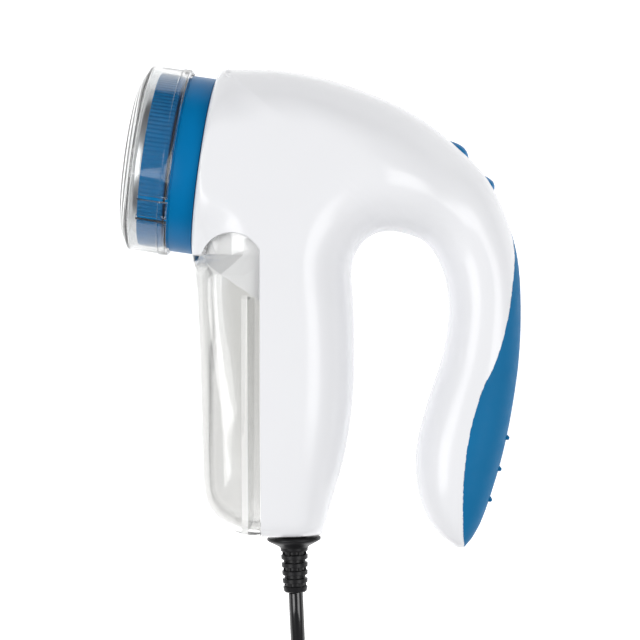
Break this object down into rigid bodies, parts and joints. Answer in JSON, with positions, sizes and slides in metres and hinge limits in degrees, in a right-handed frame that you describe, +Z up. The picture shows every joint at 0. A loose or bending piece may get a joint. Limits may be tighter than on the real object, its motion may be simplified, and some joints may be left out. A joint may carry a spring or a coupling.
{
  "type": "fabric shaver",
  "caption": "Handheld mains fabric shaver with a capped round head, a clear lint bin, an arched hook handle with a soft grip, and a coiled lead.",
  "frame": {"origin": "below the middle of the shaver without its lead, on the surface it lies on", "axes": "+X from the shaving head to the handle, +Y from the lead to the top of the head, +Z up across the shaver, which lies on its flat cheek"},
  "size_m": [0.1512, 0.3167, 0.067],
  "materials": {
    "shell_white": "moulded gloss white",
    "blue_plastic": "moulded satin blue",
    "soft_blue": "matt soft-touch blue",
    "clear_plastic": "clear polished moulding",
    "foil_steel": "thin perforated steel",
    "steel": "plain steel",
    "nickel": "nickel-plated",
    "bronze": "sintered bronze",
    "copper": "copper",
    "ferrite": "dull ferrite",
    "black_plastic": "gloss black",
    "grey_plastic": "satin grey",
    "board_green": "circuit board",
    "amber_plastic": "dipped film capacitor",
    "wire_insulation": "wire insulation",
    "cord_black": "gloss black flexible"
  },
  "bodies": {
    "housing": {"housing_left": "shell_white", "housing_right": "shell_white", "lint_duct": "shell_white", "soft_grip": "soft_blue", "switch_body": "black_plastic", "cutter_chamber": "shell_white", "motor_can": "steel", "motor_end_cap": "black_plastic", "front_bush": "bronze", "rear_bush": "bronze", "magnet_1": "ferrite", "magnet_2": "ferrite", "motor_plate": "grey_plastic", "rectifier_board": "board_green", "filter_capacitor": "black_plastic", "dropper_capacitor": "amber_plastic", "bridge_rectifier": "black_plastic", "cord_clamp": "shell_white", "clamp_screw_1": "steel", "clamp_screw_2": "steel", "cord_inner": "cord_black", "mains_wire_1": "wire_insulation", "mains_wire_2": "wire_insulation", "motor_wire_1": "wire_insulation", "motor_wire_2": "wire_insulation", "strain_relief": "cord_black", "cord": "cord_black", "cord_coil": "cord_black", "cord_tail": "cord_black", "cord_tie": "black_plastic", "plug_body": "cord_black", "plug_pin_1": "nickel", "plug_pin_2": "nickel", "housing_screw_1": "steel", "housing_screw_2": "steel", "housing_screw_3": "steel", "housing_screw_4": "steel", "housing_screw_5": "steel", "housing_screw_6": "steel"},
    "cutter_rotor": {"motor_shaft": "steel", "fan": "grey_plastic", "armature": "copper", "commutator": "copper"},
    "blade_head": {"blade_hub": "grey_plastic", "blade_1": "steel", "blade_2": "steel", "blade_3": "steel", "blade_spring": "steel"},
    "collar": {"head_collar": "blue_plastic"},
    "foil_head": {"foil_ring": "blue_plastic", "foil_guard": "foil_steel"},
    "cap": {"protective_cap": "clear_plastic"},
    "bin": {"lint_bin": "clear_plastic"},
    "slider": {"switch_slider": "blue_plastic"}
  },
  "joints": [
    {"name": "rotor_spin", "type": "hinge", "parent": "housing", "child": "cutter_rotor", "pos_m": [-0.041, 0.04941, 0.0335], "axis": [-0.9895, 0.1444, 0], "continuous": true},
    {"name": "blade_float", "type": "slide", "parent": "cutter_rotor", "child": "blade_head", "axis": [-0.9895, 0.1444, 0], "range_m": [-0.0015, 0], "stiffness_N_per_m": 250, "deforming": ["blade_spring"]},
    {"name": "collar_twist", "type": "hinge", "parent": "housing", "child": "collar", "pos_m": [-0.041, 0.04941, 0.0335], "axis": [-0.9895, 0.1444, 0], "range_deg": [0, 30]},
    {"name": "head_lift", "type": "slide", "parent": "collar", "child": "foil_head", "axis": [-0.9895, 0.1444, 0], "range_m": [0, 0.03]},
    {"name": "cap_pull", "type": "slide", "parent": "foil_head", "child": "cap", "axis": [-0.9895, 0.1444, 0], "range_m": [0, 0.03]},
    {"name": "bin_slide", "type": "slide", "parent": "housing", "child": "bin", "axis": [0, -1, 0], "range_m": [0, 0.105]},
    {"name": "switch_slide", "type": "slide", "parent": "housing", "child": "slider", "axis": [0.6542, -0.7564, 0], "range_m": [0, 0.004]}
  ]
}
